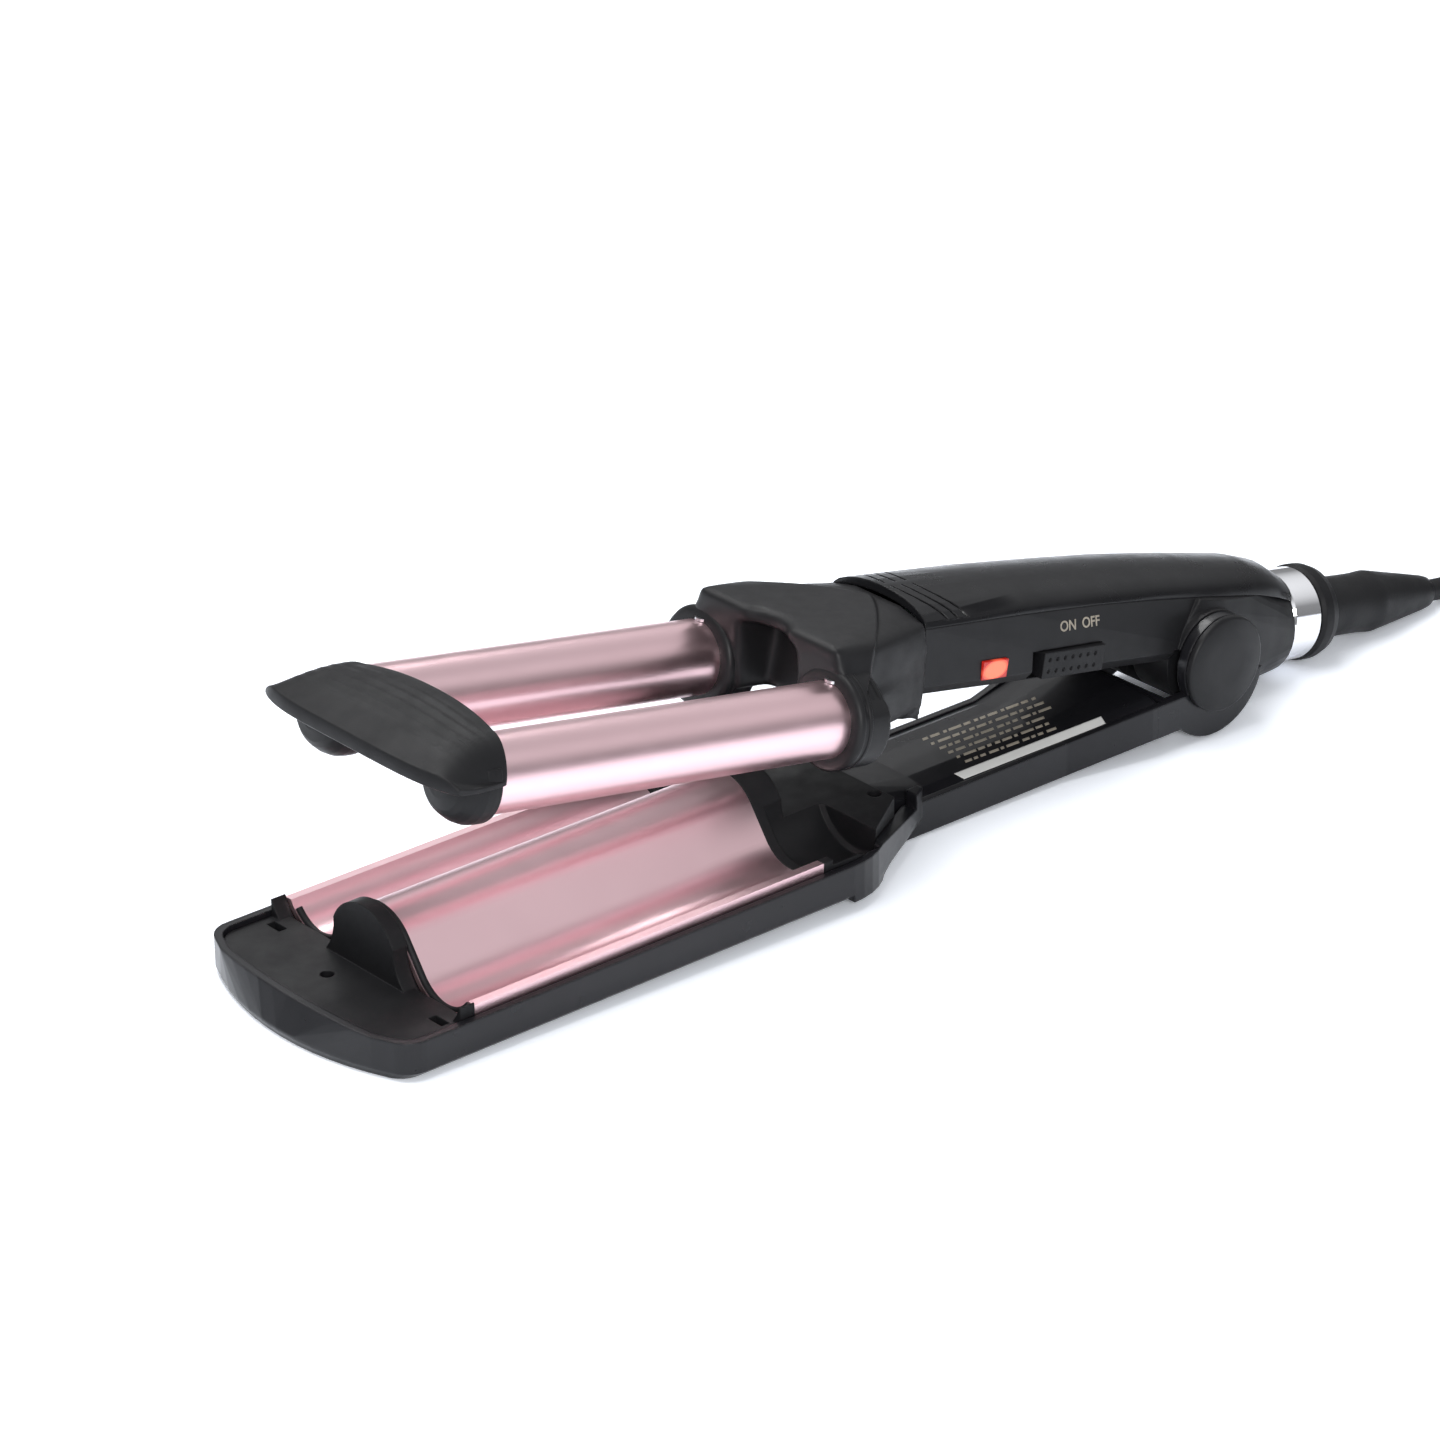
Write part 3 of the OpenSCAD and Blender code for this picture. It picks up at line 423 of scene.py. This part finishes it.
def on_wall(name, body, material, places, thick):
    """A thin patch through a grid of surface points, with its own rim."""
    rows, cols = len(places), len(places[0])
    outer = [place + normal * thick for row in places for place, normal in row]
    inner = [place - normal * thick for row in places for place, normal in row]
    n = rows * cols
    faces = []
    for i in range(rows - 1):
        for j in range(cols - 1):
            a = i * cols + j
            faces.append((a, a + 1, a + cols + 1, a + cols))
            faces.append((n + a, n + a + cols, n + a + cols + 1, n + a + 1))
    rim = (
        [(0, j) for j in range(cols)]
        + [(i, cols - 1) for i in range(1, rows)]
        + [(rows - 1, j) for j in range(cols - 2, -1, -1)]
        + [(i, 0) for i in range(rows - 2, 0, -1)]
    )
    for (i, j), (k, m) in zip(rim, rim[1:] + rim[:1]):
        a, b = i * cols + j, k * cols + m
        faces.append((a, n + a, n + b, b))
    mesh_piece(name, outer + inner, faces, material, body, smooth=False)


# ON and OFF above the switch

WORD_Z, WORD_HEIGHT = 14.1, 0.0027
CAPITAL = 0.72  # height of a capital letter, as a part of the font's size


def label(text, x, z, height):
    place, normal = hit("handle_frame", arm(x, -40, z), Vector((0, 1, 0)))
    data = bpy.data.curves.new("label", "FONT")
    data.body = text
    data.align_x = "CENTER"
    data.align_y = "CENTER"
    data.size = height / CAPITAL
    data.extrude = 0.00003
    data.offset = 0.00006
    flat = bpy.data.objects.new("label_source", data)
    scene.collection.objects.link(flat)
    bpy.context.view_layer.update()
    shaped = flat.evaluated_get(bpy.context.evaluated_depsgraph_get())
    mesh = bpy.data.meshes.new_from_object(shaped)
    bpy.data.objects.remove(flat)
    across = ARM_BACK.normalized()
    across = (across - normal * across.dot(normal)).normalized()
    upward = normal.cross(across)
    turn = Matrix((across, upward, normal)).transposed().to_4x4()
    mesh.transform(Matrix.Translation(place + normal * 0.00004) @ turn)
    mesh.materials.clear()
    mesh.materials.append(print_grey)
    obj = bpy.data.objects.new(f"switch_word_{text.lower()}", mesh)
    scene.collection.objects.link(obj)
    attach(obj, "handle_arm")


label("ON", -53.4, WORD_Z, WORD_HEIGHT)
label("OFF", -45.0, WORD_Z, WORD_HEIGHT)


# Moulded forms: copies of CAD nodes, welded or remeshed and then eased


def weld(mesh):
    """Joins the points that neighbouring faces share."""
    bm = bmesh.new()
    bm.from_mesh(mesh)
    bmesh.ops.remove_doubles(bm, verts=bm.verts, dist=1e-6)
    bm.to_mesh(mesh)
    bm.free()


def remeshed(node, voxel):
    source = bpy.data.objects.new("remesh_source", nodes[node].data.copy())
    scene.collection.objects.link(source)
    weld(source.data)
    tool = source.modifiers.new("remesh", "REMESH")
    tool.mode = "VOXEL"
    tool.voxel_size = voxel
    shaped = source.evaluated_get(bpy.context.evaluated_depsgraph_get())
    mesh = bpy.data.meshes.new_from_object(shaped)
    bpy.data.objects.remove(source)
    return mesh


def coords(mesh):
    co = np.empty(len(mesh.vertices) * 3)
    mesh.vertices.foreach_get("co", co)
    return co.reshape(-1, 3)


def pull_of(mesh):
    """Makes a function: the way from each point to the middle of its neighbours."""
    pairs = np.empty(len(mesh.edges) * 2, dtype=np.int64)
    mesh.edges.foreach_get("vertices", pairs)
    a, b = pairs.reshape(-1, 2).T
    n = len(mesh.vertices)
    near = np.maximum(np.bincount(a, minlength=n) + np.bincount(b, minlength=n), 1)

    def pull(co):
        sums = [
            np.bincount(a, co[b, i], minlength=n) + np.bincount(b, co[a, i], minlength=n)
            for i in range(3)
        ]
        return np.stack(sums, 1) / near[:, None] - co

    return pull


def ease(mesh, co, weight, rounds):
    """Easing in steps in and out, which keeps the form's volume."""
    pull = pull_of(mesh)
    for k in range(rounds):
        co = co + pull(co) * ((0.5 if k % 2 == 0 else -0.52) * weight)
    return co


def soften(mesh, co, weight, rounds):
    """Plain easing, which rounds edges off and draws the form in a little."""
    pull = pull_of(mesh)
    for _ in range(rounds):
        co = co + pull(co) * (0.7 * weight)[:, None]
    return co


def smooth_step(v):
    v = np.clip(v, 0, 1)
    return v * v * (3 - 2 * v)


def moulded(name, mesh, co, body, slot, material, *stands_for):
    mesh.vertices.foreach_set("co", co.ravel())
    mesh.materials.clear()
    mesh.materials.append(material)
    mesh.shade_smooth()
    mesh.update()
    obj = bpy.data.objects.new(name, mesh)
    scene.collection.objects.link(obj)
    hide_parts(*stands_for)
    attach(obj, body)
    return obj


# Fork: soft shoulders, crisp sockets, and a step down to the neck band

SOCKET_R, SOCKET_REAR, FORK_REAR = 13, -130, -104.3

fork_mesh = remeshed("fork_housing", 0.0004)
co = coords(fork_mesh)
q = arm_mm(co)
off_axis = np.hypot(np.abs(q[:, 1]) - BARREL_Y, q[:, 2] - BARREL_Z)
off_end = smooth_step((FORK_REAR - q[:, 0]) / 2)
clear = np.maximum(
    smooth_step((off_axis - SOCKET_R) / 2), smooth_step((q[:, 0] - SOCKET_REAR) / 3)
)
co = soften(fork_mesh, co, 0.9 * clear * off_end, 60)
co = ease(fork_mesh, co, 0.1, 20)
q = arm_mm(co)
bow = -108 - 0.381 * np.abs(q[:, 1]) ** 1.238
past = smooth_step((q[:, 0] - bow) / 1.2) * smooth_step((q[:, 2] - 6) / 6)
q[:, 2] -= 0.9 * past
q[:, 1] *= 1 - 0.035 * past
co = ease(fork_mesh, arm_world(q), 0.6, 6)
moulded(
    "fork_moulding", fork_mesh, co, "handle_arm", "satin_black", satin_black, "fork_housing"
)


# Top shell: the same shape, shaded smooth across its facets

shell_mesh = nodes["handle_top_shell"].data.copy()
weld(shell_mesh)
shell = moulded(
    "shell_moulding", shell_mesh, coords(shell_mesh),
    "handle_arm", "gloss_black", gloss_black, "handle_top_shell",
)
shell.data.set_sharp_from_angle(angle=math.radians(24))


# Visor: a domed crescent that hugs both barrels at its ends

VISOR_HALF, VISOR_SLICES, TOP_STEPS = 36.4, 60, 44
VISOR_UNDER = 3.6  # height of its lower edge
CROWN_R, WRAP_R = 10.7, 9.6  # its top's and its underside's radius over a barrel
MIDDLE = 15.3  # the underside is open from the middle to here
RIPPLE, RIPPLE_LENGTH = 0.13, 3.2


def visor_section(y):
    """One slice of the visor across the handle arm, as (x, z) points in mm."""
    a = abs(y)
    front = -268.4 + 4.4 * (a / VISOR_HALF) ** 5
    rear = -243.6 - 4.6 * (a / 34) ** 3 - 9 * max(0, (a - 34.2) / 2.2) ** 2
    if a > BARREL_Y:
        hug = BARREL_Z + math.sqrt(max(0, CROWN_R**2 - (a - BARREL_Y) ** 2))
    else:
        hug = 13.1 + 2.1 * (1 - (a / BARREL_Y) ** 2)
    low_top = 7.4 - 2.2 * max(0, (a - 30) / 6.4) ** 2
    top = max(hug, 4.8)
    wrap = 2.5
    if 14.6 < a < 33.5:
        wrap += math.sqrt(max(0, WRAP_R**2 - (a - BARREL_Y) ** 2))
    under = max(9.6 if a < MIDDLE else wrap, VISOR_UNDER)
    step = front + 6.6 if a < MIDDLE else -255.6
    points = [
        (front + 0.5, VISOR_UNDER),
        (front + 0.1, 3.9),
        (front, 4.4),
        (front, low_top - 0.6),
        (front + 0.2, low_top - 0.15),
    ]
    side_fade = max(0, 1 - (a / 33) ** 4)
    for k in range(TOP_STEPS + 1):
        t = k / TOP_STEPS
        x = front + 0.5 + (rear - 0.6 - front - 0.5) * t
        z = low_top + (top - low_top) * (1 - (1 - t) ** 2.3)
        inner = min(1, max(0, (t - 0.18) / 0.12)) * min(1, max(0, (0.9 - t) / 0.1)) * side_fade
        ripple = RIPPLE * inner * math.cos((x - front) * 2 * math.pi / RIPPLE_LENGTH)
        points.append((x, z + ripple))
    edge = max(top - 0.5, under + 0.3)
    points += [
        (rear - 0.2, top - 0.12),
        (rear, edge),
        (rear, under + 0.1),
        (rear - 0.3, under),
        (max(step, front + 3) if rear > step + 1 else rear - 1, under),
        (min(step, rear - 1), VISOR_UNDER),
    ]
    return points


visor_y = [
    VISOR_HALF * math.sin(math.pi / 2 * k / VISOR_SLICES)
    for k in range(-VISOR_SLICES, VISOR_SLICES + 1)
]
slices = [visor_section(y) for y in visor_y]
count = len(slices[0])
verts = [arm(x, y, z) for y, points in zip(visor_y, slices) for x, z in points]
faces = []
for i in range(len(slices) - 1):
    for k in range(count):
        m = (k + 1) % count
        faces.append((i * count + k, (i + 1) * count + k, (i + 1) * count + m, i * count + m))
faces.append(tuple(range(count)))
faces.append(tuple(range(len(slices) * count - 1, (len(slices) - 1) * count - 1, -1)))
visor = mesh_piece("visor_moulding", verts, faces, matte_black, "handle_arm")
visor.data.set_sharp_from_angle(angle=math.radians(38))
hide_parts("tip_bridge")


# Pale strip and the worn print on the inner cover


def through_pixel(node, px, py):
    """Where the camera's ray through a pixel of the picture meets a node."""
    across, down = (px - PICTURE / 2) / FOCAL_PIXELS, (py - PICTURE / 2) / FOCAL_PIXELS
    ray = (look + right * across - up * down).normalized()
    return hit(node, camera.matrix_world.translation, ray)


def mix(a, b, share):
    """The pixel that is this share of the way from a to b."""
    return [(1 - share) * m + share * n for m, n in zip(a, b)]


def printed(name, corners, material, rows, cols, thick):
    """A thin patch on the inner cover, with its corners at four pixels."""
    places = []
    for i in range(rows):
        row = []
        for j in range(cols):
            h = j / (cols - 1)
            top, bottom = mix(corners[0], corners[1], h), mix(corners[3], corners[2], h)
            row.append(through_pixel("inner_cover", *mix(top, bottom, i / (rows - 1))))
        places.append(row)
    on_wall(name, "lower_arm", material, places, thick)


strip = [(953.8, 773.8), (1101, 716.3), (1108, 727.5), (968.5, 781.3)]
printed("blank_strip", strip, label_white, 4, 49, 0.00008)

DASHES, GAPS = (5.2, 9.5, 3.4, 12.5, 6.8, 4.1), (2.4, 3.6, 2.0)
SLOPE, LEAN, DASH_HIGH = -0.37, 1.2, 2.3
dash = 0
for line in range(6):
    x, y = 922 + 8.5 * line, 738.5 + 4.4 * line
    end = x + 112 - 5 * line
    k = 0
    while x < end:
        long = DASHES[(k + 2 * line) % len(DASHES)]
        rise = SLOPE * long
        corners = [
            (x, y),
            (x + long, y + rise),
            (x + long + LEAN, y + rise + DASH_HIGH),
            (x + LEAN, y + DASH_HIGH),
        ]
        printed(f"print_dash_{dash:02d}", corners, print_grey, 2, 4, 0.00004)
        ahead = long + GAPS[(k + line) % len(GAPS)]
        x += ahead
        y += SLOPE * ahead
        k += 1
        dash += 1


# Rounded lip where the wave plate's front edge meets the end plate

LIP_X, LIP_HALF, LIP_R, LIP_STEPS = -254.9, 32.5, 0.0009, 140

lip = []
for k in range(LIP_STEPS + 1):
    y = -LIP_HALF + 2 * LIP_HALF * k / LIP_STEPS
    place, normal = hit("wave_plate", low(LIP_X, y, 45), LOW_DOWN)
    lip.append(place + normal * 0.00015)
lip_bead = swept("plate_lip", lip, LIP_R, 12)
lip_bead.data.materials.append(matte_black)
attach(lip_bead, "lower_arm")


# Turned pieces: hinge discs, the sleeve behind the swivel, the rings at the sockets


def turned(name, profile, centre, axis, material, body, slot, *stands_for):
    """A profile of (distance along axis, radius) in mm, spun around the axis."""
    steps = 96
    axis = Vector(axis).normalized()
    side = axis.orthogonal().normalized()
    other = axis.cross(side)
    verts = []
    for along, radius in profile:
        for k in range(steps):
            a = 2 * math.pi * k / steps
            out = side * math.cos(a) + other * math.sin(a)
            verts.append(Vector(centre) + axis * (along / MM) + out * (radius / MM))
    obj = mesh_piece(name, verts, ring_faces(len(profile), steps), material, body)
    obj.data.set_sharp_from_angle(angle=math.radians(40))
    if stands_for:
        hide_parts(*stands_for)


SIDES = (("near", -1), ("far", 1))
DISC = [
    (0, 0.3), (0, 12.7), (0.3, 13), (1.3, 13), (1.7, 12.8), (2.0, 12.3), (2.1, 6), (2.12, 0.3)
]
for word, sign in SIDES:
    turned(
        f"hinge_disc_{word}",
        DISC,
        arm(0, sign * 22.8, 0),
        (0, sign, 0),
        satin_black,
        "handle_arm",
        "satin_black",
        f"hinge_cap_{word}",
    )

SLEEVE = [(0, 3.6), (0, 8.0), (0.6, 8.3)]
for k in range(1, 40):
    z = 0.6 + 44.2 * k / 40
    bead = 0.4 * math.exp(-(((z - 22) / 3.5) ** 2))
    above_floor = 11.9 - 0.163 * z
    SLEEVE.append((z, min(8.2 - 0.5 * z / 46 + bead, above_floor)))
SLEEVE += [(45.6, 4.3), (46, 4.0), (46, 3.3)]
turned(
    "relief_sleeve",
    SLEEVE,
    arm(58, 0, 0.6),
    ARM_BACK,
    rubber,
    "swivel",
    "black_rubber",
    "strain_relief",
)

SOCKET_RING = [
    (-0.9, 9.3), (-0.9, 11.7), (-0.5, 12.5), (0.3, 12.95), (1.0, 12.9), (1.3, 12.3),
    (2.2, 12.25), (2.5, 12.85), (3.3, 12.9), (3.8, 12.4), (3.8, 9.3),
]
for word, sign in SIDES:
    turned(
        f"socket_ring_{word}",
        SOCKET_RING,
        arm(-140, sign * BARREL_Y, BARREL_Z),
        ARM_BACK,
        satin_black,
        "handle_arm",
        "satin_black",
    )


# Floor: brighter where it is seen than where it lights the object

FLOOR = 6  # half its side, in m
SEEN_GAIN = 1.35

floor_data = bpy.data.meshes.new("floor")
corners = [(-FLOOR, -FLOOR, 0), (FLOOR, -FLOOR, 0), (FLOOR, FLOOR, 0), (-FLOOR, FLOOR, 0)]
floor_data.from_pydata(corners, [], [(0, 1, 2, 3)])
floor = bpy.data.objects.new("floor", floor_data)
scene.collection.objects.link(floor)
s = Shader("floor_white")
pale = s.blend(s.noise(3, 2), (0.87, 0.9, 0.95), (0.89, 0.92, 0.97))
rays = s.node("ShaderNodeLightPath")
gain = s.node("ShaderNodeMapRange")
gain.inputs["To Min"].default_value = 1.0
gain.inputs["To Max"].default_value = SEEN_GAIN
seen_by = rays.outputs["Is Camera Ray"]
for other in ("Is Glossy Ray", "Is Transmission Ray"):
    either = s.node("ShaderNodeMath", operation="MAXIMUM")
    s.link(seen_by, either.inputs[0])
    s.link(rays.outputs[other], either.inputs[1])
    seen_by = either.outputs["Value"]
s.link(seen_by, gain.inputs["Value"])
seen = s.node("ShaderNodeVectorMath", operation="SCALE")
s.link(pale, seen.inputs[0])
s.link(gain.outputs["Result"], seen.inputs["Scale"])
matt = s.node("ShaderNodeBsdfDiffuse")
s.link(seen.outputs["Vector"], matt.inputs["Color"])
s.link(matt.outputs["BSDF"], s.tree.nodes["Material Output"].inputs["Surface"])
s.tree.nodes.remove(s.bsdf)
floor_data.materials.append(s.mat)


# World: bands of light by height for the object, plain white for the camera

BANDS = ((0.0, 0.3), (0.26, 0.36), (0.46, 0.95), (0.58, 1.2), (0.74, 0.5), (1.0, 0.45))

world = bpy.data.worlds.new("studio")
scene.world = world
world.use_nodes = True
tree = world.node_tree
background = tree.nodes["Background"]
sky = tree.nodes.new("ShaderNodeTexCoord")
split = tree.nodes.new("ShaderNodeSeparateXYZ")
ramp = tree.nodes.new("ShaderNodeValToRGB")
tree.links.new(sky.outputs["Generated"], split.inputs["Vector"])
tree.links.new(split.outputs["Z"], ramp.inputs["Fac"])
while len(ramp.color_ramp.elements) < len(BANDS):
    ramp.color_ramp.elements.new(0.5)
for element, (height, level) in zip(ramp.color_ramp.elements, BANDS):
    element.position = height
    element.color = (level, level * 1.01, level * 1.03, 1)
tree.links.new(ramp.outputs["Color"], background.inputs["Color"])
background.inputs["Strength"].default_value = 0.8
plain = tree.nodes.new("ShaderNodeBackground")
plain.inputs["Color"].default_value = (1, 1, 1, 1)
plain.inputs["Strength"].default_value = 1.0
rays = tree.nodes.new("ShaderNodeLightPath")
either = tree.nodes.new("ShaderNodeMixShader")
tree.links.new(rays.outputs["Is Camera Ray"], either.inputs["Fac"])
tree.links.new(background.outputs["Background"], either.inputs[1])
tree.links.new(plain.outputs["Background"], either.inputs[2])
tree.links.new(either.outputs["Shader"], tree.nodes["World Output"].inputs["Surface"])


# Lamps


def area(name, place, target, size, energy):
    data = bpy.data.lights.new(name, "AREA")
    data.shape = "RECTANGLE"
    data.size, data.size_y = size
    data.energy = energy
    obj = bpy.data.objects.new(name, data)
    scene.collection.objects.link(obj)
    obj.location = place
    ahead = Vector(target) - Vector(place)
    obj.rotation_euler = ahead.to_track_quat("-Z", "Y").to_euler()


area("key_light", (-0.3, 0.2, 1.6), (0, 0, 0), (1.3, 0.8), 15)
area("strip_light", (-0.1, 0.45, 0.62), (-0.08, 0, 0.02), (1.2, 0.05), 2.6)
area("side_light", (-0.9, -1.2, 0.7), (0, 0, 0.02), (0.45, 0.35), 15)
